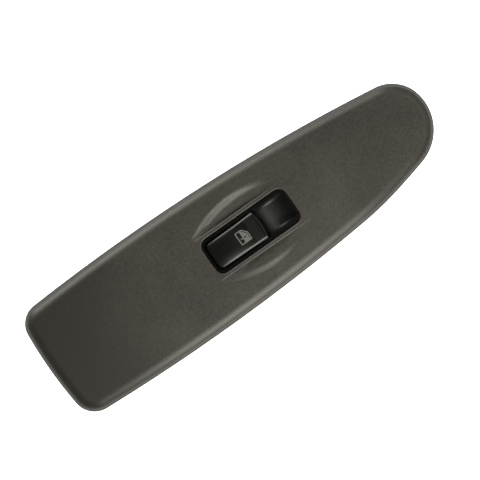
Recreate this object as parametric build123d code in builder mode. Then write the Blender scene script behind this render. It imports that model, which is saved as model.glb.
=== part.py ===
from build123d import *
import os
from math import sqrt

# Power window switch in its armrest trim panel, in millimetres.
# The origin is the middle of the switch aperture, on the plane where the panel's skirt sits on the armrest.
# +X runs along the switch to the finger pocket and the narrow tip, +Y across it, +Z out of its face.

# Trim panel outline, as the corners of its arcs before they are rounded
wide_left = (-119.9, 31.4)
wide_right = (-119.7, -30.4)
flank_end = (50.0, -28.85)
nose_start = (90.2, -20.95)
nose_end = (99.7, 22.0)
left_flank_radius = 1023.0
right_flank_radius = 1060.0
wide_end_radius = 226.0
nose_radius = 24.7
wide_left_corner = 11.4
wide_right_corner = 12.0
nose_corner = 19.0

# Trim panel section
panel_top = 7.0
panel_wall = 2.4
edge_round = 6.0
rib_thickness = 1.4
rib_height = 2.6
rib_places = (-104.0, -84.0, -64.0, -44.0, 48.0, 70.0, 86.0)
spine_gap = 84.0
spine_length = 90.0

# Aperture and the rim around it
aperture_length = 50.5
aperture_width = 20.0
aperture_bow = 0.5
aperture_corner = 4.4
aperture_round = 0.7
collar_wall = 1.6
rim_width = 2.1

# Scoops beside the aperture
scoop_centre = 1.7
scoop_radius = 55.4
scoop_reach = 20.8
scoop_step = 2.8
scoop_step_depth = 1.7
scoop_depth = 2.7
scoop_length = 56.0
scoop_brow = 4.0
scoop_hollow = 4.0
rim_draft = 0.4
rim_brow = 0.7
scoop_lead = 0.02
scoop_backing = 1.8
backing_margin = 2.0
backing_end = 31.0

# Fastenings of the panel to the armrest
clip_places = ((-94.0, 19.0), (-94.0, -18.0), (59.0, 15.0), (59.0, -15.0))
tower_length = 9.0
tower_thickness = 1.6
tower_foot = -8.0
web_width = 8.0
web_foot = 0.3
pin_place = (-74.0, 0.0)
pin_radius = 2.5
pin_shoulder = 4.0
pin_foot = -6.0
pin_chamfer = 0.8
tongue_place = (92.0, 3.0)
tongue_width = 12.0
tongue_length = 13.0
tongue_thickness = 2.0
tongue_foot = -3.6
tongue_round = 0.8

# Spring clips
clip_steel = 0.5
clip_length = 7.0
clip_gap = 0.05
clip_leg_top = -1.4
clip_wing_peak = (3.3, -4.0)
clip_wing_end = (2.2, -6.4)
clip_bend = 0.3

# Switch case
neck_gap = 0.15
neck_side_wall = 1.5
neck_end_wall = 0.9
neck_top = 5.2
neck_round = 0.3
flange_top = -2.0
flange_thickness = 2.2
flange_length = 54.0
flange_width = 25.0
flange_corner = 3.0
ear_radius = 5.0
screw_place = 32.0
ear_hole = 1.7
case_length = 50.0
case_width = 20.0
case_corner = 2.0
case_wall = 1.5
case_foot = -14.5
cavity_top = -5.0
window_place = 15.0
window_width = 5.0
window_height = 1.4
window_foot = -13.4

# Well and finger pocket in the switch case
well_rear_corner = 3.4
well_rear_bow = 0.4
pocket_width = 15.6
pocket_land = 0.2
pocket_start = 6.7
pocket_deepest = (15.0, -3.5)
pocket_end = (24.2, 3.4)
pocket_brim = 24.4
pocket_fillet = 2.0
pocket_corner = 3.4

# Rocker knob
pivot_x = -8.0
pivot_z = 0.0
knob_side_gap = 0.15
knob_end_gap = 0.5
knob_front = 8.2
knob_front_gap = 0.5
knob_front_bow = 1.1
knob_front_corner = 2.2
knob_rear_corner = 2.9
knob_rear_height = 4.7
knob_crown = (-8.0, 6.4)
knob_crown_rise = 0.55
knob_top_end = 7.45
knob_brow = (6.1, 7.3)
knob_lip_height = 3.4
knob_lip_foot = 2.9
knob_throat = 2.2
knob_edge_round = 2.0
knob_brow_round = 0.5
knob_foot = -2.2
knob_wall = 1.3
knob_ceiling = 4.2
knob_rear_ceiling = 3.2
knob_ceiling_run = 4.0
apron_radius = 13.3
apron_gap = 0.45
trunnion_radius = 1.6
trunnion_clearance = 0.05
trunnion_end_gap = 0.1
barrel_spread = 3.6
barrel_radius = 2.2
barrel_foot = -6.5
barrel_roof = 3.4
barrel_clearance = 0.05
cross_web = 1.4

# Plungers and their springs
plunger_radius = 1.45
plunger_tip_round = 1.0
plunger_head = -4.4
plunger_spigot_radius = 0.6
plunger_spigot = 1.4
spring_wire = 0.2
spring_radius = 1.05
spring_turns = 5.5
spring_seat_gap = 0.05

# Rocking contacts
contact_thickness = 0.8
contact_width = 3.0
contact_reach = 5.2
contact_overhang = 1.2
contact_neck = 2.0
contact_notch = 1.2
contact_gap = 0.68
contact_lift = 0.05
rivet_radius = 1.0
rivet_height = 0.4
rivet_round = 0.25
fulcrum_clearance = 0.05
fulcrum_depth = 0.1

# Terminals
strip = 0.64
blade_width = 2.3
blade_foot = -27.0
blade_chamfer = 0.25
pin_pitch = 6.6
fixed_pad_length = 3.0
lamp_pad_length = 4.8
horn_height = 0.85
horn_width = 0.6
horn_gap = 0.1
slot_gap = 0.05

# Terminal base
base_thickness = 2.0
plug_gap = 0.1
plug_wall = 1.2
plug_top = -11.4
barb_reach = 0.8
barb_gap = 0.2
shroud_length = 27.0
shroud_width = 15.0
shroud_wall = 1.4
shroud_corner = 2.0
shroud_foot = -29.0
latch_width = 5.0
latch_reach = 1.4
latch_height = 3.0
latch_drop = 5.0

# Lamp and light guide
lamp_place = 1.2
lamp_radius = 1.5
lamp_height = 2.4
lamp_dome = 1.0
lead_width = 0.5
lead_height = 0.3
guide_gap = 0.15
guide_foot_size = 4.6
guide_foot_height = 3.4
guide_neck_width = 3.4
guide_top = 1.8
guide_top_place = -2.9
guide_top_length = 4.2
guide_top_width = 6.0

# Case screws
screw_radius = 1.2
screw_head_radius = 2.7
screw_head_height = 1.8
screw_length = 7.0
screw_recess = 0.9
screw_slot = 0.7
screw_slot_length = 3.0
pilot_clearance = 0.05
pilot_spare = 0.6
boss_radius = 3.5

# Places that several pieces share
flange_foot = flange_top - flange_thickness
half_aperture = aperture_width / 2
half_neck = half_aperture - neck_gap
half_well = half_neck - neck_side_wall
half_knob = half_well - knob_side_gap
neck_end = aperture_length / 2 - neck_gap
well_rear = -neck_end + neck_end_wall
well_front = knob_front + knob_front_gap
knob_rear = well_rear + knob_end_gap
panel_ceiling = panel_top - panel_wall
root = panel_ceiling + panel_wall / 2
sky = panel_top + edge_round
rim_edge = half_aperture + rim_width
pad_top = case_foot + strip
contact_foot = pad_top + rivet_height + contact_gap + rivet_height
contact_top = contact_foot + contact_thickness
fulcrum_z = contact_foot - fulcrum_depth
plunger_tip = contact_top + contact_lift
barrel_bore = plunger_radius + barrel_clearance
shroud_centre = pivot_x + pin_pitch / 2
base_foot = case_foot - base_thickness
shroud_reach = shroud_width / 2
signs = (1, -1)
side_names = {1: "left", -1: "right"}
pivot = Plane((pivot_x, 0, pivot_z), x_dir=(1, 0, 0), z_dir=(0, 1, 0))
half_slope = 0.5
midway = 0.5


def set_in(edge, place, inset):
    """A point on an edge of the panel's convex outline, moved inwards by the inset."""
    point = edge @ place
    normal = (edge % place).rotate(Axis.Z, 90)
    return point + normal * (inset if normal.dot(point) < 0 else -inset)


def panel_form(inset):
    """The panel's closed outer form, set in by the same amount all over its top and edge."""
    with BuildSketch() as outline:
        with BuildLine():
            RadiusArc(wide_left, wide_right, -wide_end_radius)
            flank = RadiusArc(wide_right, flank_end, -right_flank_radius)
            nose = RadiusArc(nose_start, nose_end, -nose_radius)
            Spline(flank_end, nose_start, tangents=(flank % 1, nose % 0))
            RadiusArc(nose_end, wide_left, -left_flank_radius)
        make_face()
        fillet(outline.vertices().sort_by_distance(wide_left)[0], wide_left_corner)
        fillet(outline.vertices().sort_by_distance(wide_right)[0], wide_right_corner)
        fillet(outline.vertices().sort_by_distance(nose_end)[0], nose_corner)
    with BuildPart() as form:
        with BuildSketch():
            with BuildLine():
                for edge in outline.edges():
                    start, middle, end = [set_in(edge, place, inset) for place in (0, midway, 1)]
                    if edge.geom_type == GeomType.CIRCLE:
                        ThreePointArc(start, middle, end)
                    else:
                        Spline(start, middle, end, tangents=(edge % 0, edge % 1))
            make_face()
        extrude(amount=panel_top - inset)
        fillet(form.faces().sort_by(Axis.Z)[-1].edges(), edge_round - inset)
    return form.part


def aperture_face(inset, height):
    """The aperture's shape with its bowed ends, set in by a clearance, at a height."""
    end = aperture_length / 2 - aperture_bow - inset
    side = half_aperture - inset
    with BuildSketch(Plane.XY.offset(height)) as face:
        with BuildLine():
            Line((-end, side), (end, side))
            ThreePointArc((end, side), (end + aperture_bow, 0), (end, -side))
            Line((end, -side), (-end, -side))
            ThreePointArc((-end, -side), (-end - aperture_bow, 0), (-end, side))
        make_face()
        fillet(face.vertices(), aperture_corner - inset)
    return face.sketch


def well_plan(rear, front, side, corner, height):
    """The plan that the knob and its well share: a rounded rear end and a bowed front."""
    shoulder = front - knob_front_bow
    with BuildSketch(Plane.XY.offset(height)) as plan:
        with BuildLine():
            Line((rear + well_rear_bow, side), (shoulder, side))
            ThreePointArc((shoulder, side), (front, 0), (shoulder, -side))
            Line((shoulder, -side), (rear + well_rear_bow, -side))
            ThreePointArc((rear + well_rear_bow, -side), (rear, 0), (rear + well_rear_bow, side))
        make_face()
        fillet(plan.vertices().group_by(Axis.X)[0], corner)
    return plan.sketch


def rim_scoop():
    """The hollow beside the rim on the +Y side: a turned brow, a floor that rises to both ends, and a flank."""
    brow_height = panel_top + scoop_lead
    floor = panel_top - scoop_depth
    outside = scoop_reach + backing_margin
    floor_radius = (scoop_length**2 / 4 + scoop_depth**2) / (2 * scoop_depth)
    with BuildPart() as hollow:
        with BuildSketch(Plane.YZ.offset(scoop_centre)):
            with BuildLine():
                FilletPolyline(
                    (outside, brow_height),
                    (scoop_reach, brow_height),
                    (scoop_reach - scoop_step, panel_top - scoop_step_depth),
                    (half_aperture, floor),
                    radius=(scoop_brow, scoop_hollow),
                )
                Polyline(
                    (half_aperture, floor),
                    (half_aperture, sky),
                    (outside, sky),
                    (outside, brow_height),
                )
            make_face()
        revolve(axis=Axis((scoop_centre, scoop_reach - scoop_radius, 0), (0, 0, 1)))
        with BuildSketch(Plane.YZ):
            with BuildLine():
                FilletPolyline(
                    (half_aperture, brow_height),
                    (rim_edge, brow_height),
                    (rim_edge + rim_draft, floor - rim_draft),
                    radius=rim_brow,
                )
                Polyline(
                    (rim_edge + rim_draft, floor - rim_draft),
                    (outside, floor - rim_draft),
                    (outside, sky),
                    (half_aperture, sky),
                    (half_aperture, brow_height),
                )
            make_face()
        extrude(amount=scoop_radius, both=True, mode=Mode.INTERSECT)
        with BuildSketch(Plane.XZ):
            with Locations((scoop_centre, floor + floor_radius)):
                Circle(floor_radius)
        extrude(amount=2 * scoop_radius, both=True, mode=Mode.INTERSECT)
    return hollow.part


# Ribs under the panel, cut to its inner form and rooted in its wall
with BuildPart() as ribs:
    with BuildSketch(Plane.XY.offset(panel_ceiling - rib_height)):
        with Locations(*[(place, 0) for place in rib_places]):
            Rectangle(rib_thickness, 2 * spine_gap)
        with Locations(*[(sign * (spine_gap + spine_length) / 2, 0) for sign in signs]):
            Rectangle(spine_length, rib_thickness)
    extrude(amount=rib_height + panel_wall)
    add(panel_form(panel_wall / 2), mode=Mode.INTERSECT)

# Trim panel: one moulding with its skirt, rim, scoops, collar, bosses, clip towers, pin and tongue
with BuildPart() as trim_panel:
    add(panel_form(0))
    add(panel_form(panel_wall), mode=Mode.SUBTRACT)
    add(ribs.part)
    # Backing that keeps the wall whole under the scoops
    with BuildSketch(Plane.XY.offset(panel_top - scoop_depth - scoop_backing)):
        with BuildLine():
            for sign in signs:
                ThreePointArc(
                    (-backing_end, sign * half_aperture),
                    (0, sign * (scoop_reach + backing_margin)),
                    (backing_end, sign * half_aperture),
                )
                Line((sign * backing_end, half_aperture), (sign * backing_end, -half_aperture))
        make_face()
    extrude(amount=root - panel_top + scoop_depth + scoop_backing)
    # Collar, screw bosses and the webs that join them
    with BuildSketch(Plane.XY.offset(flange_top)):
        add(aperture_face(-collar_wall, 0))
        with Locations((screw_place, 0), (-screw_place, 0)):
            Circle(boss_radius)
        Rectangle(2 * screw_place, rib_thickness)
    extrude(amount=root - flange_top)
    add(aperture_face(0, flange_top))
    extrude(amount=sky, mode=Mode.SUBTRACT)
    with BuildSketch(Plane.XY.offset(flange_top)):
        with Locations((screw_place, 0), (-screw_place, 0)):
            Circle(screw_radius + pilot_clearance)
    extrude(amount=screw_length - flange_thickness + pilot_spare, mode=Mode.SUBTRACT)
    # Clip towers with their webs
    with BuildSketch(Plane.XY.offset(tower_foot)):
        with Locations(*clip_places):
            Rectangle(tower_length, tower_thickness)
    extrude(amount=root - tower_foot)
    with BuildSketch(Plane.XY.offset(web_foot)):
        with Locations(*clip_places):
            Rectangle(rib_thickness, web_width)
    extrude(amount=root - web_foot)
    # Locating pin on its shoulder
    with BuildSketch():
        with Locations(pin_place):
            Circle(pin_shoulder)
    extrude(amount=root)
    with BuildSketch():
        with Locations(pin_place):
            Circle(pin_radius)
    extrude(amount=pin_foot)
    pin_edges = trim_panel.edges().filter_by(GeomType.CIRCLE).filter_by_position(Axis.Z, pin_foot, pin_foot)
    chamfer(pin_edges, pin_chamfer)
    # Hooked tongue at the narrow tip
    with BuildSketch(Plane.XZ.offset(-tongue_place[1])):
        with BuildLine():
            FilletPolyline(
                (tongue_place[0], root),
                (tongue_place[0], tongue_foot),
                (tongue_place[0] + tongue_length, tongue_foot),
                (tongue_place[0] + tongue_length, tongue_foot + tongue_thickness),
                (tongue_place[0] + tongue_thickness, tongue_foot + tongue_thickness),
                (tongue_place[0] + tongue_thickness, root),
                close=True,
                radius=(0, tongue_round, tongue_round, tongue_round, tongue_round, 0),
            )
        make_face()
    extrude(amount=tongue_width / 2, both=True)
    # Scoops on both sides, and the aperture's rounded edge
    add(rim_scoop(), mode=Mode.SUBTRACT)
    add(mirror(rim_scoop(), about=Plane.XZ, mode=Mode.PRIVATE), mode=Mode.SUBTRACT)
    brim = trim_panel.faces().sort_by(Axis.Z)[-1].inner_wires().sort_by_distance((0, 0, panel_top))[0]
    fillet(brim.edges(), aperture_round)

# Finger pocket: a bowl that a finger reaches under the lip from
with BuildPart() as pocket:
    with BuildSketch(Plane.XZ):
        with BuildLine():
            Polyline((pivot_x, sky), (pivot_x, pocket_land), (pocket_start, pocket_land))
            ThreePointArc((pocket_start, pocket_land), pocket_deepest, pocket_end)
            Polyline(pocket_end, (pocket_brim, neck_top), (pocket_brim, sky), (pivot_x, sky))
        make_face()
    extrude(amount=pocket_width / 2, both=True)
    fillet(pocket.edges().filter_by(Axis.Z).group_by(Axis.X)[-1], pocket_corner)
    bowl = pocket.faces().filter_by(GeomType.CYLINDER).sort_by(SortBy.AREA)[-1]
    fillet(bowl.edges() - bowl.edges().filter_by(Axis.Y).group_by(Axis.X)[0], pocket_fillet)

# Switch case: neck, flange with ears, body, knob well, finger pocket and trunnion bores
with BuildPart() as switch_case:
    add(aperture_face(neck_gap, flange_foot))
    extrude(amount=neck_top - flange_foot)
    fillet(switch_case.faces().sort_by(Axis.Z)[-1].edges(), neck_round)
    with BuildSketch(Plane.XY.offset(flange_foot)):
        RectangleRounded(flange_length, flange_width, flange_corner)
        SlotCenterToCenter(2 * screw_place, 2 * ear_radius)
        with Locations((screw_place, 0), (-screw_place, 0)):
            Circle(ear_hole, mode=Mode.SUBTRACT)
    extrude(amount=flange_thickness)
    with BuildSketch(Plane.XY.offset(case_foot)):
        RectangleRounded(case_length, case_width, case_corner)
    extrude(amount=flange_foot - case_foot)
    with BuildSketch(Plane.XY.offset(case_foot)):
        RectangleRounded(case_length - 2 * case_wall, case_width - 2 * case_wall, case_corner / 2)
    extrude(amount=cavity_top - case_foot, mode=Mode.SUBTRACT)
    # Well for the knob: a straight rear part, a front turned about the pivot, and room for the lip
    with BuildSketch(Plane.XY.offset(case_foot)):
        add(well_plan(well_rear, well_front, half_well, well_rear_corner, 0))
        with Locations((pivot_x, 0)):
            Rectangle(case_length, case_width, align=(Align.MIN, Align.CENTER), mode=Mode.SUBTRACT)
    extrude(amount=sky - case_foot, mode=Mode.SUBTRACT)
    with BuildSketch(pivot):
        Circle(apron_radius + apron_gap)
        Rectangle(case_length, case_length, align=(Align.MAX, Align.CENTER), mode=Mode.SUBTRACT)
    extrude(amount=half_well, both=True, mode=Mode.SUBTRACT)
    add(well_plan(well_rear, well_front, half_well, well_rear_corner, pocket_land))
    extrude(amount=sky, mode=Mode.SUBTRACT)
    with BuildSketch(pivot):
        Circle(trunnion_radius + trunnion_clearance)
    extrude(amount=case_width, both=True, mode=Mode.SUBTRACT)
    # Windows for the base's barbs
    with Locations(*[(sign * window_place, 0, window_foot) for sign in signs]):
        Box(
            window_width,
            2 * case_width,
            window_height,
            align=(Align.CENTER, Align.CENTER, Align.MIN),
            mode=Mode.SUBTRACT,
        )
    add(pocket.part, mode=Mode.SUBTRACT)

# Rocker knob: the outer form from its plan and its side, then hollow, barrels, cross web and trunnions
with BuildPart() as knob_side:
    with BuildSketch(Plane.XZ):
        apron_throat = pivot_x + sqrt(apron_radius**2 - (knob_throat - pivot_z) ** 2)
        apron_foot = pivot_x + sqrt(apron_radius**2 - (knob_foot - pivot_z) ** 2)
        with BuildLine():
            Line((apron_foot, knob_foot), (knob_rear, knob_foot))
            Line((knob_rear, knob_foot), (knob_rear, knob_rear_height))
            crown = SagittaArc((knob_rear, knob_rear_height), knob_crown, knob_crown_rise)
            TangentArc(knob_crown, (well_front, knob_top_end), tangent=crown % 1)
            Polyline(
                (well_front, knob_top_end),
                (well_front, knob_lip_foot),
                (apron_throat, knob_throat),
            )
            ThreePointArc(
                (apron_throat, knob_throat),
                (pivot_x + apron_radius, pivot_z),
                (apron_foot, knob_foot),
            )
        make_face()
    extrude(amount=case_width, both=True)

# What leaves the knob's leaning front: a cone that follows the round front of its plan
with BuildPart() as knob_lean:
    front_radius = (half_knob**2 + knob_front_bow**2) / (2 * knob_front_bow)
    lean = (knob_front - knob_brow[0]) / (knob_brow[1] - knob_lip_height)
    with BuildSketch(Plane.XZ):
        with BuildLine():
            Polyline(
                (knob_front, knob_lip_height),
                (knob_front - lean * (sky - knob_lip_height), sky),
                (knob_front + case_width, sky),
                (knob_front + case_width, knob_lip_height),
                close=True,
            )
        make_face()
    revolve(axis=Axis((knob_front - front_radius, 0, 0), (0, 0, 1)))

with BuildPart() as knob_hollow:
    inner_corner = knob_rear_corner - knob_wall
    add(well_plan(knob_rear + knob_wall, well_front, half_knob - knob_wall, inner_corner, knob_foot))
    extrude(amount=knob_ceiling - knob_foot)
    with BuildSketch(Plane.XZ):
        inner_radius = apron_radius - knob_wall
        inner_roof = pivot_x + sqrt(inner_radius**2 - (knob_ceiling - pivot_z) ** 2)
        inner_foot = pivot_x + sqrt(inner_radius**2 - (knob_foot - pivot_z) ** 2)
        with BuildLine():
            Polyline(
                (inner_foot, knob_foot),
                (knob_rear, knob_foot),
                (knob_rear, knob_rear_ceiling),
                (knob_rear + knob_wall, knob_rear_ceiling),
                (knob_rear + knob_wall + knob_ceiling_run, knob_ceiling),
                (inner_roof, knob_ceiling),
            )
            ThreePointArc(
                (inner_roof, knob_ceiling),
                (pivot_x + inner_radius, pivot_z),
                (inner_foot, knob_foot),
            )
        make_face()
    extrude(amount=case_width, both=True, mode=Mode.INTERSECT)

with BuildPart() as rocker_knob:
    add(well_plan(knob_rear, knob_front, half_knob, knob_rear_corner, knob_foot))
    extrude(amount=sky - knob_foot)
    add(knob_side.part, mode=Mode.INTERSECT)
    fillet(rocker_knob.edges().filter_by(Axis.Z).group_by(Axis.X)[-1], knob_front_corner)
    upper = rocker_knob.faces().filter_by(lambda face: face.normal_at().Z > half_slope)
    fillet(upper.edges() - upper.edges().filter_by(Axis.Y), knob_edge_round)
    add(knob_lean.part, mode=Mode.SUBTRACT)
    leaning = rocker_knob.faces().filter_by(GeomType.CONE).sort_by(SortBy.AREA)[-1]
    fillet(leaning.edges().filter_by(lambda edge: edge.center().Z > knob_ceiling), knob_brow_round)
    add(knob_hollow.part, mode=Mode.SUBTRACT)
    with BuildSketch(Plane.XY.offset(barrel_foot)):
        with Locations((pivot_x, barrel_spread), (pivot_x, -barrel_spread)):
            Circle(barrel_radius)
    extrude(amount=knob_ceiling - barrel_foot)
    with BuildSketch(Plane.XY.offset(knob_foot)):
        with Locations((pivot_x, 0)):
            Rectangle(cross_web, 2 * half_knob - knob_wall)
    extrude(amount=knob_ceiling - knob_foot)
    for sign in signs:
        cheek = (pivot_x, sign * (half_knob - knob_wall), pivot_z)
        with BuildSketch(Plane(cheek, x_dir=(1, 0, 0), z_dir=(0, sign, 0))):
            Circle(trunnion_radius)
        extrude(amount=half_neck - trunnion_end_gap - half_knob + knob_wall)
    with BuildSketch(Plane.XY.offset(barrel_foot)):
        with Locations((pivot_x, barrel_spread), (pivot_x, -barrel_spread)):
            Circle(barrel_bore)
    extrude(amount=barrel_roof - barrel_foot, mode=Mode.SUBTRACT)


def plunger(y):
    """A plunger with a rounded tip, and a spigot that centres its spring."""
    with BuildPart() as pin:
        with BuildSketch(Plane.XY.offset(plunger_tip)):
            with Locations((pivot_x, y)):
                Circle(plunger_radius)
        extrude(amount=plunger_head - plunger_tip)
        fillet(pin.edges().group_by(Axis.Z)[0], plunger_tip_round)
        with BuildSketch(Plane.XY.offset(plunger_head)):
            with Locations((pivot_x, y)):
                Circle(plunger_spigot_radius)
        extrude(amount=plunger_spigot)
    return pin.part


def plunger_spring(y):
    """The coil spring between a plunger's head and the roof of its barrel."""
    foot = plunger_head + spring_wire + spring_seat_gap
    height = barrel_roof - spring_wire - spring_seat_gap - foot
    with BuildPart() as spring:
        with BuildLine() as coil:
            Helix(height / spring_turns, height, spring_radius, center=(pivot_x, y, foot))
        with BuildSketch(Plane(coil.line @ 0, z_dir=coil.line % 0)):
            Circle(spring_wire)
        sweep(path=coil.line)
    return spring.part


def rocking_contact(y):
    """A see-saw strip with a rivet under each end, a groove for its fulcrum and a waist for the horns."""
    with BuildPart() as contact:
        with BuildSketch(Plane.XY.offset(contact_foot)):
            with Locations((pivot_x, y)):
                RectangleRounded(2 * (contact_reach + contact_overhang), contact_width, contact_width / 4)
            with Locations((pivot_x, y + contact_width / 2), (pivot_x, y - contact_width / 2)):
                Rectangle(contact_notch, contact_width - contact_neck, mode=Mode.SUBTRACT)
        extrude(amount=contact_thickness)
        with BuildSketch(Plane((pivot_x, y, fulcrum_z), (1, 0, 0), (0, 1, 0))):
            Circle(strip / 2 + fulcrum_clearance)
        extrude(amount=contact_width, both=True, mode=Mode.SUBTRACT)
        with BuildSketch(Plane.XY.offset(contact_foot)):
            with Locations((pivot_x - contact_reach, y), (pivot_x + contact_reach, y)):
                Circle(rivet_radius)
        extrude(amount=-rivet_height)
        fillet(contact.edges().group_by(Axis.Z)[0], rivet_round)
    return contact.part


def motor_terminal(y):
    """A blade that rises through the base to a rounded fulcrum between two horns."""
    shoulder = contact_neck / 2 + horn_gap + horn_width
    with BuildPart() as terminal:
        with BuildSketch(Plane.YZ.offset(pivot_x - strip / 2)):
            with Locations((y, blade_foot)):
                Rectangle(blade_width, pad_top - blade_foot, align=(Align.CENTER, Align.MIN))
            with Locations((y, case_foot)):
                Rectangle(2 * shoulder, fulcrum_z - case_foot, align=(Align.CENTER, Align.MIN))
            for sign in signs:
                with Locations((y + sign * (shoulder - horn_width / 2), fulcrum_z)):
                    Rectangle(horn_width, horn_height, align=(Align.CENTER, Align.MIN))
        extrude(amount=strip)
        with BuildSketch(Plane((pivot_x, y, fulcrum_z), (1, 0, 0), (0, 1, 0))):
            Circle(strip / 2)
        extrude(amount=contact_neck / 2 + horn_gap, both=True)
        chamfer(terminal.edges().group_by(Axis.Z)[0].filter_by(Axis.Y), blade_chamfer)
    return terminal.part


def pad_terminal(x, y, pad_length, inward):
    """A blade that rises through the base and folds over into a pad on its floor."""
    heel = x - inward * strip / 2
    with BuildPart() as terminal:
        with BuildSketch(Plane.XZ.offset(-y)):
            with BuildLine():
                Polyline((heel, blade_foot), (heel, pad_top), (heel + inward * pad_length, pad_top))
                Polyline(
                    (heel + inward * pad_length, pad_top),
                    (heel + inward * pad_length, case_foot),
                    (heel + inward * strip, case_foot),
                    (heel + inward * strip, blade_foot),
                    (heel, blade_foot),
                )
            make_face()
        extrude(amount=blade_width / 2, both=True)
        fillet(terminal.edges().filter_by(Axis.Y).sort_by_distance((heel, y, pad_top))[0], strip / 2)
        chamfer(terminal.edges().group_by(Axis.Z)[0].filter_by(Axis.Y), blade_chamfer)
    return terminal.part


def fixed_terminal(end, y):
    """A pad terminal with the rivet that one end of a rocking contact lands on."""
    with BuildPart() as terminal:
        add(pad_terminal(pivot_x + end * pin_pitch, y, fixed_pad_length, -end))
        with BuildSketch(Plane.XY.offset(pad_top)):
            with Locations((pivot_x + end * contact_reach, y)):
                Circle(rivet_radius)
        extrude(amount=rivet_height)
        fillet(terminal.edges().group_by(Axis.Z)[-1], rivet_round)
    return terminal.part


# Terminal base: floor with slots, plug that fills the case's foot, barbs and connector shroud
slot_places = [(pivot_x + place * pin_pitch, sign * barrel_spread) for place in (-1, 0, 1, 2) for sign in signs]
plug_length = case_length - 2 * case_wall - 2 * plug_gap
plug_width = case_width - 2 * case_wall - 2 * plug_gap
plug_corner = case_corner / 2 - plug_gap
with BuildPart() as terminal_base:
    with BuildSketch(Plane.XY.offset(base_foot)):
        RectangleRounded(case_length, case_width, case_corner)
    extrude(amount=base_thickness)
    with BuildSketch(Plane.XY.offset(case_foot)):
        RectangleRounded(plug_length, plug_width, plug_corner)
        Rectangle(plug_length - 2 * plug_wall, plug_width - 2 * plug_wall, mode=Mode.SUBTRACT)
    extrude(amount=plug_top - case_foot)
    # Barbs that snap into the case's windows
    barb_foot = window_foot + barb_gap
    barb_top = window_foot + window_height - barb_gap
    barb_root = plug_width / 2 - plug_wall / 2
    for place in signs:
        for sign in signs:
            with BuildSketch(Plane.YZ.offset(place * window_place)):
                with BuildLine():
                    Polyline(
                        (sign * barb_root, barb_foot),
                        (sign * (plug_width / 2 + barb_reach), barb_foot),
                        (sign * plug_width / 2, barb_top),
                        (sign * barb_root, barb_top),
                        close=True,
                    )
                make_face()
            extrude(amount=window_width / 2 - barb_gap, both=True)
    # Connector shroud with its latch ramp
    with BuildSketch(Plane.XY.offset(shroud_foot)):
        with Locations((shroud_centre, 0)):
            RectangleRounded(shroud_length, shroud_width, shroud_corner)
            RectangleRounded(
                shroud_length - 2 * shroud_wall,
                shroud_width - 2 * shroud_wall,
                shroud_corner - shroud_wall / 2,
                mode=Mode.SUBTRACT,
            )
    extrude(amount=base_foot - shroud_foot)
    with BuildSketch(Plane.YZ.offset(shroud_centre)):
        with BuildLine():
            Polyline(
                (shroud_reach - shroud_wall / 2, base_foot - latch_drop),
                (shroud_reach + latch_reach, base_foot - latch_drop),
                (shroud_reach, base_foot - latch_drop - latch_height),
                (shroud_reach - shroud_wall / 2, base_foot - latch_drop - latch_height),
                close=True,
            )
        make_face()
    extrude(amount=latch_width / 2, both=True)
    with BuildSketch(Plane.XY.offset(base_foot)):
        with Locations(*slot_places):
            Rectangle(strip + 2 * slot_gap, blade_width + 2 * slot_gap)
    extrude(amount=base_thickness, mode=Mode.SUBTRACT)

# Lamp with its two leads, which lie on the lamp terminals' pads
with BuildPart() as illumination_led:
    with BuildSketch(Plane.XY.offset(case_foot)):
        with Locations((lamp_place, 0)):
            Circle(lamp_radius)
    extrude(amount=lamp_height)
    fillet(illumination_led.edges().group_by(Axis.Z)[-1], lamp_dome)
    with BuildSketch(Plane.XY.offset(pad_top)):
        with Locations((lamp_place, 0)):
            Rectangle(lead_width, 2 * barrel_spread)
    extrude(amount=lead_height)

# Light guide: a foot over the lamp and a flared column up to the pictogram
with BuildPart() as light_guide:
    with BuildSketch(Plane.XY.offset(case_foot)):
        with Locations((lamp_place, 0)):
            Rectangle(guide_foot_size, guide_foot_size)
    extrude(amount=guide_foot_height)
    with BuildSketch(Plane.XY.offset(case_foot + guide_foot_height)):
        with Locations((lamp_place, 0)):
            Rectangle(guide_foot_size, guide_neck_width)
    with BuildSketch(Plane.XY.offset(guide_top)):
        with Locations((guide_top_place, 0)):
            Rectangle(guide_top_length, guide_top_width)
    loft()
    with BuildSketch(Plane.XY.offset(case_foot)):
        with Locations((lamp_place, 0)):
            Circle(lamp_radius + guide_gap)
    extrude(amount=lamp_height + guide_gap, mode=Mode.SUBTRACT)
    with BuildSketch(Plane.XY.offset(case_foot)):
        with Locations((lamp_place, 0)):
            Rectangle(lead_width + 2 * guide_gap, guide_foot_size)
    extrude(amount=strip + lead_height + guide_gap, mode=Mode.SUBTRACT)

# Case screws: pan heads under the ears, shanks up into the panel's bosses
with BuildPart() as case_screws:
    with BuildSketch(Plane.XY.offset(flange_foot)):
        with Locations((screw_place, 0), (-screw_place, 0)):
            Circle(screw_radius)
    extrude(amount=screw_length)
    chamfer(case_screws.edges().group_by(Axis.Z)[-1], screw_radius / 2)
    with BuildSketch(Plane.XY.offset(flange_foot)):
        with Locations((screw_place, 0), (-screw_place, 0)):
            Circle(screw_head_radius)
    extrude(amount=-screw_head_height)
    fillet(case_screws.edges().group_by(Axis.Z)[0], screw_recess)
    with BuildSketch(Plane.XY.offset(flange_foot - screw_head_height)):
        with Locations((screw_place, 0), (-screw_place, 0)):
            Rectangle(screw_slot_length, screw_slot)
            Rectangle(screw_slot, screw_slot_length)
    extrude(amount=screw_recess, mode=Mode.SUBTRACT)

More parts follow.
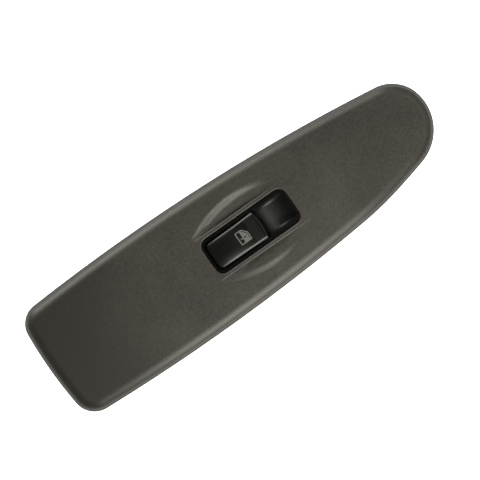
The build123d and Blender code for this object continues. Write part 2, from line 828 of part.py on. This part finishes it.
# Spring clips: one folded strip over the end of each clip tower, with a wing on each side
with BuildPart() as spring_clips:
    leg = tower_thickness / 2 + clip_gap + clip_steel / 2
    heel = tower_foot - clip_steel / 2
    for clip_x, clip_y in clip_places:
        with BuildSketch(Plane.YZ.offset(clip_x - clip_length / 2)):
            with BuildLine():
                FilletPolyline(
                    (clip_y - clip_wing_end[0], clip_wing_end[1]),
                    (clip_y - clip_wing_peak[0], clip_wing_peak[1]),
                    (clip_y - leg, clip_leg_top),
                    (clip_y - leg, heel),
                    (clip_y + leg, heel),
                    (clip_y + leg, clip_leg_top),
                    (clip_y + clip_wing_peak[0], clip_wing_peak[1]),
                    (clip_y + clip_wing_end[0], clip_wing_end[1]),
                    radius=clip_bend,
                )
            trace(line_width=clip_steel)
        extrude(amount=clip_length)

# Every piece by its name; left is the +Y pole and right the -Y pole
pieces = {
    "trim_panel": trim_panel.part,
    "switch_case": switch_case.part,
    "terminal_base": terminal_base.part,
    "rocker_knob": rocker_knob.part,
    "illumination_led": illumination_led.part,
    "light_guide": light_guide.part,
    "case_screws": case_screws.part,
    "spring_clips": spring_clips.part,
}
for side, name in side_names.items():
    pole = side * barrel_spread
    pieces["plunger_" + name] = plunger(pole)
    pieces["plunger_spring_" + name] = plunger_spring(pole)
    pieces["rocking_contact_" + name] = rocking_contact(pole)
    pieces["motor_terminal_" + name] = motor_terminal(pole)
    pieces["feed_terminal_" + name] = fixed_terminal(side, pole)
    pieces["ground_terminal_" + name] = fixed_terminal(-side, pole)
    pieces["led_terminal_" + name] = pad_terminal(pivot_x + 2 * pin_pitch, pole, lamp_pad_length, -1)

os.makedirs("parts", exist_ok=True)
for name, piece in pieces.items():
    piece.label = name
    export_step(piece, "parts/" + name + ".step")
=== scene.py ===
"""Looks of the power window switch: finishes, the printed pictogram, a pale floor, soft studio light and the
camera.
"""

import math

import bmesh
import bpy
from mathutils import Matrix, Vector


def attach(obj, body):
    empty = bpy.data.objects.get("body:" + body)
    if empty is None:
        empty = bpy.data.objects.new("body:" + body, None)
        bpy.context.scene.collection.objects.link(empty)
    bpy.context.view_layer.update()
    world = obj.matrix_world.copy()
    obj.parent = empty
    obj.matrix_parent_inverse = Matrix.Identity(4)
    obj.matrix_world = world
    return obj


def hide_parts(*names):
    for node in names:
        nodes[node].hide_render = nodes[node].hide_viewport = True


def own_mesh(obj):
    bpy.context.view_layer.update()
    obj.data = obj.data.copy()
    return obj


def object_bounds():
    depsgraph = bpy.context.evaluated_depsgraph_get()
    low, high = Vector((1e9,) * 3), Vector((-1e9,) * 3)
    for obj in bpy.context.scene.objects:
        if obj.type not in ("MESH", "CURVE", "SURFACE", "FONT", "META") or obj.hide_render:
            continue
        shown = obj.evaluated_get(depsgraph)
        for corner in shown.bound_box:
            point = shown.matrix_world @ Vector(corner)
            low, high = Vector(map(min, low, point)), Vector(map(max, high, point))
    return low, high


MM = 0.001

# Camera: straight above the panel, turned so that the switch runs up to the right
VIEW_TURN = math.radians(35.1)
VIEW_CENTRE = Vector((-6.88, -0.46, 2.0)) * MM
VIEW_WIDTH = 240 * MM
CAMERA_LENS = 135
SENSOR_WIDTH = 36

# Studio
FLOOR_GAP = 0.2 * MM
FLOOR_SIZE = 6.0
FLOOR_COLOUR = (0.9, 0.9, 0.89)
FLOOR_GLOW = 0.9
SKY_ZENITH = 0.08
SKY_HORIZON = 0.15
SKY_DARK_END = 0.95
SKY_BRIGHT_END = 0.5

# A soft box close by on the right: its place and size in millimetres, and its radiance
BOX_PLACE = (-15, -200, 190)
BOX_SIZE = (190, 220)
BOX_RADIANCE = 8.0
LIGHT_COLOUR = (1.0, 0.97, 0.88)

# A tall soft lamp far off on the left: radiance, how far it leans to the front, and where it fades
SIDE_RADIANCE = 9.5
SIDE_LEAN = -0.08
SIDE_BREADTH = (0.1, 0.4)
SIDE_FOOT = (0.0, 0.3)
SIDE_HEAD = (0.45, 0.9)

# A round one in front and above: direction, radiance and the angles where it starts and stops to fade
FRONT_LAMP = (0.55, 0, 0.83)
FRONT_RADIANCE = 1.8
FRONT_FADE = (6, 30)

# Pictogram printed on the knob, in millimetres: a door's window with its glass and a double arrow
ICON_REAR = -7.6
ICON_FRONT = -1.2
ICON_LEFT = 3.6
ICON_RIGHT = -3.45
ICON_SLANT = (2.6, 2.8)
ICON_CORNER = 0.5
ICON_LINE = 0.58
ICON_PILLAR = -5.2
ICON_GLASS_GAP = 0.36
ICON_GAP_FOOT = -2.7
ICON_ARROW_Y = -0.55
ICON_SHAFT = 0.24
ICON_HEAD = 0.5
ICON_REAR_TIP = -6.6
ICON_REAR_HEAD = -5.8
ICON_TAIL = -4.6
ICON_FRONT_HEAD = -3.8
ICON_FRONT_TIP = -2.95
ICON_STEP = 0.4
ICON_RISE = 0.02
ICON_SINK = 0.05

# The knob's crown, in millimetres: its half flat, how fast it falls away, the levels over which it sets in, and
# the run over which it ends behind the grip
CROWN_START = 1.0
CROWN_SLOPE = 0.036
CROWN_LEVELS = (2.5, 5.2)
CROWN_END = (-12.0, 8.0)
CROWN_STEP = 0.6
CROWN_END_STEP = 1.2

# The scoops' run-out in front, in millimetres: where their upward faces lie, where they start to get shallower, and
# by what share
SCOOP_SIDE = (10.9, 22.5)
SCOOP_BOTTOM = 4.5
SCOOP_TOP = 7.0
SCOOP_RUN = (0, 21)
SCOOP_LAST = 33
SCOOP_SHARE = 0.85
SCOOP_STEP = 1.5

# Finishes, with their zones in millimetres: the panel's rear end and steep skirt, both darkened with painted shade,
# the case's glossy land, darkened with painted shade, and the grip patch across the knob's top
PANEL_DARK = (0.0120, 0.0110, 0.0095)
PANEL_LIGHT = (0.0410, 0.0378, 0.0325)
SPECKLE_SHARE = 0.6
PANEL_REAR_SHADE = (0.0136, 0.0124, 0.0104)
REAR_SHADE_SHARE = 0.8
REAR_SHADE_FADE = (-50, -100)
PANEL_SKIRT_SHADE = (0.004, 0.004, 0.0035)
PANEL_SKIRT = (0.25, 0.65)
LAND_LEVEL = (4.6, 4.9)
GRIP_REAR = (-0.6, -0.1)
GRIP_FRONT = (4.3, 4.8)
GRIP_PITCH = 0.7
GRIP_DEPTH = 0.01
CASE_HOLLOW = (0.0048, 0.0052, 0.0048)
CASE_LAND_SHADE = (0.0008, 0.0009, 0.0008)
KNOB_COLOUR = (0.0022, 0.0026, 0.0022)
GRIP_COLOUR = (0.0160, 0.0172, 0.0152)


def node(tree, kind, **settings):
    """A shader node with its properties set and its input sockets given by name."""
    made = tree.nodes.new(kind)
    for key, value in settings.items():
        if hasattr(made, key):
            setattr(made, key, value)
        else:
            made.inputs[key.replace("_", " ")].default_value = value
    return made


def material(name):
    """A new material's node tree and its shader, ready for more nodes."""
    made = bpy.data.materials.new(name)
    made.use_nodes = True
    return made, made.node_tree, made.node_tree.nodes["Principled BSDF"]


def noise(tree, size, detail=2.0, roughness=0.5):
    """Noise whose features are about the given size, in metres, fixed to the piece."""
    place = node(tree, "ShaderNodeTexCoord")
    made = node(tree, "ShaderNodeTexNoise", Scale=1 / size, Detail=detail, Roughness=roughness)
    tree.links.new(place.outputs["Object"], made.inputs["Vector"])
    return made.outputs["Fac"]


def spread(tree, value, low, high, start=0.3, end=0.7):
    """A noise value mapped to a range."""
    made = node(tree, "ShaderNodeMapRange")
    made.inputs["From Min"].default_value = start
    made.inputs["From Max"].default_value = end
    made.inputs["To Min"].default_value = low
    made.inputs["To Max"].default_value = high
    tree.links.new(value, made.inputs["Value"])
    return made.outputs["Result"]


def blend_colours(tree, factor, first, second):
    """Two colours mixed by a factor; each is a colour or a node's output."""
    made = node(tree, "ShaderNodeMix", data_type="RGBA")
    tree.links.new(factor, made.inputs["Factor"])
    for letter, colour in (("A", first), ("B", second)):
        socket = next(s for s in made.inputs if s.name == letter and s.type == "RGBA")
        if isinstance(colour, tuple):
            socket.default_value = (*colour, 1)
        else:
            tree.links.new(colour, socket)
    return next(s for s in made.outputs if s.type == "RGBA")


def bump(tree, height, depth, normal=None):
    """A bump of the given depth in metres."""
    made = node(tree, "ShaderNodeBump", Strength=1.0, Distance=depth)
    tree.links.new(height, made.inputs["Height"])
    if normal is not None:
        tree.links.new(normal, made.inputs["Normal"])
    return made.outputs["Normal"]


def blend_values(tree, factor, first, second):
    """Two values mixed by a factor."""
    made = node(tree, "ShaderNodeMix", data_type="FLOAT")
    for socket, value in zip(made.inputs, (factor, None, first, second)):
        if value is not None:
            tree.links.new(value, socket)
    return made.outputs[0]


def trim_plastic():
    """The panel's satin plastic: speckled grain, a slow drift of tone, a dull steep skirt, and painted shade on the
    rear end and skirt.
    """
    made, tree, shader = material("panel_plastic")
    skirt = spread(tree, axis(tree, "Normal", "Z"), 1, 0, *PANEL_SKIRT)
    fine = noise(tree, 0.45 * MM, detail=3, roughness=0.6)
    speckle = noise(tree, 1.1 * MM, detail=2, roughness=0.7)
    drift = noise(tree, 30 * MM, detail=3)
    speckle = calculate(tree, "MULTIPLY", speckle, SPECKLE_SHARE)
    drift = calculate(tree, "MULTIPLY", drift, 1 - SPECKLE_SHARE)
    tone = calculate(tree, "ADD", speckle, drift)
    colour = blend_colours(tree, spread(tree, tone, 0, 1), PANEL_DARK, PANEL_LIGHT)
    # Painted shade: the colour darkens towards the rear end, standing in for light that falls off there
    rear = spread(tree, axis(tree, "Object", "X"), 0, REAR_SHADE_SHARE, *(place * MM for place in REAR_SHADE_FADE))
    colour = blend_colours(tree, rear, colour, PANEL_REAR_SHADE)
    # Painted shade: the steep skirt gets a near-black colour; the same mask also makes it rougher
    tree.links.new(blend_colours(tree, skirt, colour, PANEL_SKIRT_SHADE), shader.inputs["Base Color"])
    satin = spread(tree, fine, 0.38, 0.46)
    dull = spread(tree, fine, 0.85, 0.95)
    tree.links.new(blend_values(tree, skirt, satin, dull), shader.inputs["Roughness"])
    tree.links.new(bump(tree, fine, 0.03 * MM), shader.inputs["Normal"])
    shader.inputs["IOR"].default_value = 1.46
    return made


def moulded(name, dark, light, roughness, grain, depth, patches=0.03):
    """Moulded plastic: a fine grain in the surface and a slow drift of tone over it."""
    made, tree, shader = material(name)
    drift = spread(tree, noise(tree, patches, detail=3), 0, 1)
    colour = blend_colours(tree, drift, dark, light)
    tree.links.new(colour, shader.inputs["Base Color"])
    fine = noise(tree, grain, detail=3, roughness=0.6)
    tree.links.new(spread(tree, fine, roughness * 0.9, roughness * 1.1), shader.inputs["Roughness"])
    tree.links.new(bump(tree, fine, depth), shader.inputs["Normal"])
    shader.inputs["IOR"].default_value = 1.46
    return made


def axis(tree, source, letter):
    """One axis of the piece's own place or of its surface's direction."""
    place = node(tree, "ShaderNodeTexCoord")
    parts = node(tree, "ShaderNodeSeparateXYZ")
    tree.links.new(place.outputs[source], parts.inputs[0])
    return parts.outputs[letter]


def calculate(tree, operation, first, second):
    """Two values put together; the second one may be a number."""
    made = node(tree, "ShaderNodeMath", operation=operation)
    tree.links.new(first, made.inputs[0])
    if isinstance(second, (int, float)):
        made.inputs[1].default_value = second
    else:
        tree.links.new(second, made.inputs[1])
    return made.outputs[0]


def case_plastic():
    """The case's black plastic: fine grain in the hollows, polished on the land that carries the knob, where a
    darker colour is painted shade.
    """
    made, tree, shader = material("case_plastic")
    start, end = (level * MM for level in LAND_LEVEL)
    land = spread(tree, axis(tree, "Object", "Z"), 0, 1, start, end)
    fine = noise(tree, 0.3 * MM, detail=3, roughness=0.6)
    # Painted shade: the land in the gap beside the knob is darker in colour than the hollows
    tree.links.new(blend_colours(tree, land, CASE_HOLLOW, CASE_LAND_SHADE), shader.inputs["Base Color"])
    dull = spread(tree, fine, 0.40, 0.48)
    shine = spread(tree, fine, 0.14, 0.18)
    tree.links.new(blend_values(tree, land, dull, shine), shader.inputs["Roughness"])
    tree.links.new(bump(tree, fine, 0.005 * MM), shader.inputs["Normal"])
    shader.inputs["IOR"].default_value = 1.53
    return made


def knob_plastic():
    """The knob's black plastic: satin, with a dotted grip across its top."""
    made, tree, shader = material("knob_plastic")
    x = axis(tree, "Object", "X")
    rear = spread(tree, x, 0, 1, *(place * MM for place in GRIP_REAR))
    front = spread(tree, x, 1, 0, *(place * MM for place in GRIP_FRONT))
    top = spread(tree, axis(tree, "Normal", "Z"), 0, 1, 0.5, 0.75)
    grip = calculate(tree, "MULTIPLY", calculate(tree, "MULTIPLY", rear, front), top)
    place = node(tree, "ShaderNodeTexCoord")
    pitch = 1 / (GRIP_PITCH * MM)
    dots = node(tree, "ShaderNodeTexVoronoi", voronoi_dimensions="2D", Scale=pitch, Randomness=0.0)
    tree.links.new(place.outputs["Object"], dots.inputs["Vector"])
    fine = noise(tree, 0.3 * MM, detail=3, roughness=0.6)
    peak = spread(tree, dots.outputs["Distance"], 1, 0, 0.15, 0.45)
    dotted = calculate(tree, "MULTIPLY", peak, grip)
    colour = blend_colours(tree, dotted, KNOB_COLOUR, GRIP_COLOUR)
    tree.links.new(colour, shader.inputs["Base Color"])
    tree.links.new(spread(tree, fine, 0.24, 0.28), shader.inputs["Roughness"])
    normal = bump(tree, dotted, GRIP_DEPTH * MM)
    tree.links.new(bump(tree, fine, 0.004 * MM, normal), shader.inputs["Normal"])
    shader.inputs["IOR"].default_value = 1.43
    return made


def metal(name, dark, light, roughness, grain, depth):
    """Plated or drawn metal with faint marks from its making."""
    made, tree, shader = material(name)
    marks = noise(tree, grain, detail=4, roughness=0.65)
    tree.links.new(blend_colours(tree, spread(tree, marks, 0, 1), dark, light), shader.inputs["Base Color"])
    tree.links.new(spread(tree, marks, roughness * 0.8, roughness * 1.25), shader.inputs["Roughness"])
    tree.links.new(bump(tree, marks, depth), shader.inputs["Normal"])
    shader.inputs["Metallic"].default_value = 1.0
    return made


def clear(name, tint, roughness):
    """Clear plastic with faint flow marks."""
    made, tree, shader = material(name)
    flow = noise(tree, 2 * MM, detail=2)
    pale = tuple(0.94 * c for c in tint)
    tree.links.new(blend_colours(tree, spread(tree, flow, 0, 1), pale, tint), shader.inputs["Base Color"])
    tree.links.new(spread(tree, flow, roughness * 0.7, roughness * 1.3), shader.inputs["Roughness"])
    shader.inputs["Transmission Weight"].default_value = 0.9
    shader.inputs["IOR"].default_value = 1.49
    return made


def dress(obj, finish):
    """Gives a piece one material."""
    obj.data.materials.clear()
    obj.data.materials.append(finish)


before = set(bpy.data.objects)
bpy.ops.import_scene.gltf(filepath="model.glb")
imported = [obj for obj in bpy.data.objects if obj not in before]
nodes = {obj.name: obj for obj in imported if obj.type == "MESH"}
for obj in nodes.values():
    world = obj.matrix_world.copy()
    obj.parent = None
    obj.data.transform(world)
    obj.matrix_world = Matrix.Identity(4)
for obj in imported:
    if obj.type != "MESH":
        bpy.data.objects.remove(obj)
cad_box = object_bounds()

panel_finish = trim_plastic()
case_finish = case_plastic()
knob_finish = knob_plastic()
base_finish = moulded("base_plastic", (0.012, 0.012, 0.012), (0.016, 0.016, 0.017), 0.5, 0.5 * MM, 0.008 * MM)
acetal = moulded("white_plastic", (0.66, 0.65, 0.60), (0.72, 0.71, 0.67), 0.35, 0.4 * MM, 0.003 * MM)
guide_finish = clear("clear_plastic", (0.93, 0.96, 0.97), 0.12)
lamp_finish = clear("lamp_resin", (0.9, 0.95, 0.84), 0.18)
screw_finish = metal("screw_steel", (0.05, 0.05, 0.055), (0.08, 0.08, 0.085), 0.38, 0.5 * MM, 0.004 * MM)
clip_finish = metal("clip_steel", (0.16, 0.155, 0.15), (0.22, 0.21, 0.2), 0.42, 0.8 * MM, 0.004 * MM)
spring_finish = metal("spring_steel", (0.45, 0.45, 0.46), (0.55, 0.55, 0.56), 0.28, 0.2 * MM, 0.001 * MM)
bronze = metal("contact_bronze", (0.62, 0.36, 0.2), (0.72, 0.46, 0.27), 0.3, 0.6 * MM, 0.002 * MM)
tinned = metal("tinned_brass", (0.62, 0.6, 0.55), (0.72, 0.7, 0.65), 0.34, 0.6 * MM, 0.002 * MM)

finishes = {
    "trim_panel": panel_finish,
    "switch_case": case_finish,
    "rocker_knob": knob_finish,
    "terminal_base": base_finish,
    "light_guide": guide_finish,
    "illumination_led": lamp_finish,
    "case_screws": screw_finish,
    "spring_clips": clip_finish,
}
for name, obj in nodes.items():
    if name in finishes:
        dress(obj, finishes[name])
    elif "terminal" in name:
        dress(obj, tinned)
    elif "contact" in name:
        dress(obj, bronze)
    elif "spring" in name:
        dress(obj, spring_finish)
    else:
        dress(obj, acetal)


def coil(side):
    """A copy of a plunger's spring, carried by the rocker in place of the CAD one."""
    name = "plunger_spring_" + side
    obj = bpy.data.objects.new(name + "_coil", nodes[name].data.copy())
    bpy.context.scene.collection.objects.link(obj)
    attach(obj, "rocker")
    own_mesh(obj)
    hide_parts(name)


coil("left")
coil("right")


def ramp(value, start, end):
    """Nought before the start, one after the end, and a soft rise between them."""
    share = min(max((value - start) / (end - start), 0), 1)
    return share * share * (3 - 2 * share)


def crown(point):
    """How far a point of the knob moves up, in metres: the top falls away towards both sides."""
    x, y, z = (value / MM for value in point)
    fall = CROWN_SLOPE * max(abs(y) - CROWN_START, 0) ** 2 / 2
    return -fall * ramp(z, *CROWN_LEVELS) * (1 - ramp(x, *CROWN_END)) * MM


def run_out(point):
    """How far a point of a scoop moves up, in metres: the scoop gets shallower towards its front end."""
    x, _, z = (value / MM for value in point)
    depth = max(SCOOP_TOP - z, 0)
    start, end = SCOOP_RUN
    return depth * SCOOP_SHARE * min(max((x - start) / (end - start), 0), 1) * MM


def in_scoop(face):
    """Whether a face belongs to the front part of a scoop's upward surface."""
    x, y, z = (value / MM for value in face.calc_center_median())
    near, far = SCOOP_SIDE
    level = SCOOP_BOTTOM < z < SCOOP_TOP - 0.0005
    return face.normal.z > 0.001 and level and near < abs(y) < far and SCOOP_RUN[0] <= x < SCOOP_LAST


def reshaped(name, body, cuts, chosen, rise):
    """A copy of a CAD piece in its place, cut finer, with the chosen faces moved up or down and shaded to match."""
    source = nodes[name].data
    shape = bmesh.new()
    shape.from_mesh(source)
    facing = shape.loops.layers.float_vector.new("facing")
    directions = iter([corner.vector.copy() for corner in source.corner_normals])
    for face in shape.faces:
        for corner in face.loops:
            corner[facing] = next(directions)
    bmesh.ops.remove_doubles(shape, verts=shape.verts, dist=0.001 * MM)
    for place, way in cuts:
        faces = [face for face in shape.faces if chosen(face)]
        edges = {edge for face in faces for edge in face.edges}
        ends = {end for face in faces for end in face.verts}
        whole = faces + list(edges) + list(ends)
        bmesh.ops.bisect_plane(shape, geom=whole, plane_co=place, plane_no=way, dist=1e-7)
    bmesh.ops.triangulate(shape, faces=shape.faces[:])
    bmesh.ops.dissolve_degenerate(shape, edges=shape.edges[:], dist=0.002 * MM)
    bmesh.ops.triangulate(shape, faces=shape.faces[:])
    faces = [face for face in shape.faces if chosen(face)]
    step = 0.01 * MM
    steps = [Vector((step, 0, 0)), Vector((0, step, 0)), Vector((0, 0, step))]
    rises = {}
    for face in faces:
        for corner in face.loops:
            point = corner.vert.co
            slopes = [(rise(point + ahead) - rise(point - ahead)) / (2 * step) for ahead in steps]
            direction = corner[facing]
            level = direction.z / (1 + slopes[2])
            moved = Vector((direction.x - slopes[0] * level, direction.y - slopes[1] * level, level))
            corner[facing] = moved.normalized()
            rises[corner.vert] = rise(point)
    for vertex, height in rises.items():
        vertex.co.z += height
    mesh = bpy.data.meshes.new(name + "_form")
    shape.to_mesh(mesh)
    shape.free()
    wanted = [tuple(item.vector) for item in mesh.attributes["facing"].data]
    for attribute in ("facing", "custom_normal"):
        if attribute in mesh.attributes:
            mesh.attributes.remove(mesh.attributes[attribute])
    mesh.shade_smooth()
    mesh.normals_split_custom_set(wanted)
    obj = bpy.data.objects.new(name + "_form", mesh)
    bpy.context.scene.collection.objects.link(obj)
    dress(obj, finishes[name])
    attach(obj, body)
    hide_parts(name)
    return obj


def slices(start, end, step, way):
    """Cutting planes square to a direction, from start to end in millimetres."""
    return [(way * (start + number * step) * MM, way) for number in range(int((end - start) / step) + 1)]


LENGTHWISE = Vector((1, 0, 0))
SIDEWAYS = Vector((0, 1, 0))
knob_cuts = slices(-7.8, 7.8, CROWN_STEP, SIDEWAYS) + slices(*CROWN_END, CROWN_END_STEP, LENGTHWISE)
knob_form = reshaped("rocker_knob", "rocker", knob_cuts, lambda face: True, crown)
scoop_cuts = slices(SCOOP_RUN[0], SCOOP_LAST, SCOOP_STEP, LENGTHWISE)
reshaped("trim_panel", "housing", scoop_cuts, in_scoop, run_out)
bpy.context.view_layer.update()


def bend(points, radius):
    """A closed outline with the same radius at each of its corners."""
    steps = 5
    outline = []
    for index, corner in enumerate(points):
        before = (points[index - 1] - corner).normalized()
        after = (points[(index + 1) % len(points)] - corner).normalized()
        half = before.angle(after) / 2
        reach = radius / math.tan(half)
        centre = corner + (before + after).normalized() * radius / math.sin(half)
        start = corner + before * reach - centre
        end = corner + after * reach - centre
        sweep = start.angle(end)
        for step in range(steps + 1):
            share = step / steps
            near = math.sin((1 - share) * sweep) / math.sin(sweep)
            far = math.sin(share * sweep) / math.sin(sweep)
            outline.append(centre + start * near + end * far)
    return outline


def window_frame(inset, foot):
    """The pictogram's frame as corners, moved inwards, with the given front foot."""
    across, down = ICON_SLANT
    slant = math.hypot(across, down)
    top = ICON_LEFT - inset
    front = ICON_FRONT - inset
    # Where the slanted side, moved inwards, meets the top and the front
    top_end = ICON_FRONT - across - inset * (slant - across) / down
    front_end = ICON_LEFT - down - inset * (slant - down) / across
    return [Vector((top_end, top, 0)), Vector((front, front_end, 0)), Vector((front, foot, 0))]


def pictogram(knob, finish):
    """The print on the knob's top: a thin closed sheet with four openings, laid on the curved surface."""
    rear = Vector((ICON_REAR, ICON_RIGHT, 0))
    outer = window_frame(0, ICON_RIGHT) + [rear, Vector((ICON_REAR, ICON_LEFT, 0))]
    gap = window_frame(ICON_LINE, ICON_GAP_FOOT)
    inner = window_frame(ICON_LINE + ICON_GLASS_GAP, ICON_GAP_FOOT)
    slot_start = gap[0].lerp(gap[1], 0.06)
    slot_end = inner[0].lerp(inner[1], 0.06)
    inside = ICON_REAR + ICON_LINE
    shaft = (ICON_ARROW_Y + ICON_SHAFT, ICON_ARROW_Y - ICON_SHAFT)
    head = (ICON_ARROW_Y + ICON_HEAD, ICON_ARROW_Y - ICON_HEAD)
    pane = [
        (inside, ICON_LEFT - ICON_LINE),
        (ICON_PILLAR, ICON_LEFT - ICON_LINE),
        (ICON_PILLAR, shaft[0]),
        (ICON_REAR_HEAD, shaft[0]),
        (ICON_REAR_HEAD, head[0]),
        (ICON_REAR_TIP, ICON_ARROW_Y),
        (ICON_REAR_HEAD, head[1]),
        (ICON_REAR_HEAD, shaft[1]),
        (ICON_PILLAR, shaft[1]),
        (ICON_PILLAR, ICON_RIGHT + ICON_LINE),
        (inside, ICON_RIGHT + ICON_LINE),
    ]
    arrow = [
        (ICON_TAIL, shaft[0]),
        (ICON_FRONT_HEAD, shaft[0]),
        (ICON_FRONT_HEAD, head[0]),
        (ICON_FRONT_TIP, ICON_ARROW_Y),
        (ICON_FRONT_HEAD, head[1]),
        (ICON_FRONT_HEAD, shaft[1]),
        (ICON_TAIL, shaft[1]),
    ]
    loops = [
        bend(outer, ICON_CORNER),
        bend([slot_start, gap[1], gap[2], inner[2], inner[1], slot_end], ICON_GLASS_GAP / 5),
        [Vector((*point, 0)) for point in pane],
        [Vector((*point, 0)) for point in arrow],
    ]
    sheet = bmesh.new()
    for loop in loops:
        corners = [sheet.verts.new(point) for point in loop]
        for index, corner in enumerate(corners):
            sheet.edges.new((corners[index - 1], corner))
    bmesh.ops.triangle_fill(sheet, use_beauty=True, edges=sheet.edges[:], normal=(0, 0, 1))
    # Crossing cuts let the flat sheet follow the knob's crown
    for start, end, way in ((ICON_REAR, ICON_FRONT, LENGTHWISE), (ICON_RIGHT, ICON_LEFT, SIDEWAYS)):
        for number in range(1, int((end - start) / ICON_STEP)):
            whole = sheet.verts[:] + sheet.edges[:] + sheet.faces[:]
            place = way * (start + number * ICON_STEP)
            bmesh.ops.bisect_plane(sheet, geom=whole, plane_co=place, plane_no=way, dist=1e-5)
    for corner in sheet.verts:
        above = Vector((corner.co.x * MM, corner.co.y * MM, cad_box[1].z + MM))
        spot, normal = knob.ray_cast(above, Vector((0, 0, -1)))[1:3]
        corner.co = spot + normal * ICON_RISE * MM
    top = sheet.faces[:]
    lowered = bmesh.ops.extrude_face_region(sheet, geom=top, use_keep_orig=True)
    for corner in (item for item in lowered["geom"] if isinstance(item, bmesh.types.BMVert)):
        corner.co.z -= (ICON_RISE + ICON_SINK) * MM
    bmesh.ops.recalc_face_normals(sheet, faces=sheet.faces[:])
    mesh = bpy.data.meshes.new("window_pictogram")
    sheet.to_mesh(mesh)
    sheet.free()
    obj = bpy.data.objects.new("window_pictogram", mesh)
    bpy.context.scene.collection.objects.link(obj)
    dress(obj, finish)
    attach(obj, "rocker")
    return obj


print_finish = moulded("pale_print", (0.085, 0.086, 0.080), (0.105, 0.106, 0.100), 0.5, 0.2 * MM, 0.002 * MM)
pictogram(knob_form, print_finish)

# Camera
right = Vector((math.cos(VIEW_TURN), -math.sin(VIEW_TURN), 0))
up = Vector((math.sin(VIEW_TURN), math.cos(VIEW_TURN), 0))
back = Vector((0, 0, 1))
distance = VIEW_WIDTH * CAMERA_LENS / SENSOR_WIDTH
camera = bpy.data.objects.new("camera", bpy.data.cameras.new("camera"))
camera.data.lens = CAMERA_LENS
camera.data.sensor_width = SENSOR_WIDTH
turn = Matrix((right, up, back)).transposed().to_4x4()
camera.matrix_world = Matrix.Translation(VIEW_CENTRE + back * distance) @ turn
bpy.context.scene.collection.objects.link(camera)
bpy.context.scene.camera = camera


def floor():
    """A wide pale floor just under the lowest point."""
    level = cad_box[0].z - FLOOR_GAP
    reach = FLOOR_SIZE / 2
    mesh = bpy.data.meshes.new("floor")
    corners = [(-reach, -reach, level), (reach, -reach, level), (reach, reach, level), (-reach, reach, level)]
    mesh.from_pydata(corners, [], [(0, 1, 2, 3)])
    obj = bpy.data.objects.new("floor", mesh)
    bpy.context.scene.collection.objects.link(obj)
    made, tree, shader = material("floor")
    tone = spread(tree, noise(tree, 0.4), 0, 1)
    dull = tuple(0.98 * c for c in FLOOR_COLOUR)
    tree.links.new(blend_colours(tree, tone, dull, FLOOR_COLOUR), shader.inputs["Base Color"])
    shader.inputs["Roughness"].default_value = 0.9
    shader.inputs["Specular IOR Level"].default_value = 0.1
    shader.inputs["Emission Color"].default_value = (1, 1, 1, 1)
    shader.inputs["Emission Strength"].default_value = FLOOR_GLOW
    dress(obj, made)


def sky():
    """A dim surround, darkest overhead at the camera, with a soft lamp at one side and one in front."""
    world = bpy.data.worlds.new("studio")
    world.use_nodes = True
    tree = world.node_tree
    background = tree.nodes["Background"]
    place = node(tree, "ShaderNodeTexCoord")
    parts = node(tree, "ShaderNodeSeparateXYZ")
    tree.links.new(place.outputs["Generated"], parts.inputs[0])
    total = spread(tree, parts.outputs["Z"], SKY_HORIZON, SKY_ZENITH, SKY_BRIGHT_END, SKY_DARK_END)
    aside = calculate(tree, "SUBTRACT", parts.outputs["X"], SIDE_LEAN)
    lamp = spread(tree, calculate(tree, "ABSOLUTE", aside, 0), SIDE_RADIANCE, 0, *SIDE_BREADTH)
    lamp = calculate(tree, "MULTIPLY", lamp, spread(tree, parts.outputs["Z"], 0, 1, *SIDE_FOOT))
    lamp = calculate(tree, "MULTIPLY", lamp, spread(tree, parts.outputs["Y"], 0, 1, *SIDE_HEAD))
    total = calculate(tree, "ADD", total, lamp)
    facing = node(tree, "ShaderNodeVectorMath", operation="DOT_PRODUCT")
    tree.links.new(place.outputs["Generated"], facing.inputs[0])
    facing.inputs[1].default_value = Vector(FRONT_LAMP).normalized()
    start, stop = (math.cos(math.radians(angle)) for angle in FRONT_FADE)
    front = spread(tree, facing.outputs["Value"], 0, FRONT_RADIANCE, stop, start)
    total = calculate(tree, "ADD", total, front)
    tree.links.new(total, background.inputs["Strength"])
    background.inputs["Color"].default_value = (*LIGHT_COLOUR, 1)
    bpy.context.scene.world = world


def soft_box():
    """A rectangular lamp close to the switch, aimed at its middle."""
    lamp = bpy.data.lights.new("soft_box", "AREA")
    lamp.shape = "RECTANGLE"
    lamp.size, lamp.size_y = (side * MM for side in BOX_SIZE)
    lamp.color = LIGHT_COLOUR
    lamp.energy = BOX_RADIANCE * math.pi * lamp.size * lamp.size_y
    obj = bpy.data.objects.new("soft_box", lamp)
    obj.location = Vector(BOX_PLACE) * MM
    obj.rotation_euler = (-obj.location).to_track_quat("-Z", "Y").to_euler()
    obj.visible_camera = False
    bpy.context.scene.collection.objects.link(obj)


floor()
sky()
soft_box()

bpy.context.scene.view_settings.view_transform = "Standard"
bpy.context.scene.view_settings.look = "None"
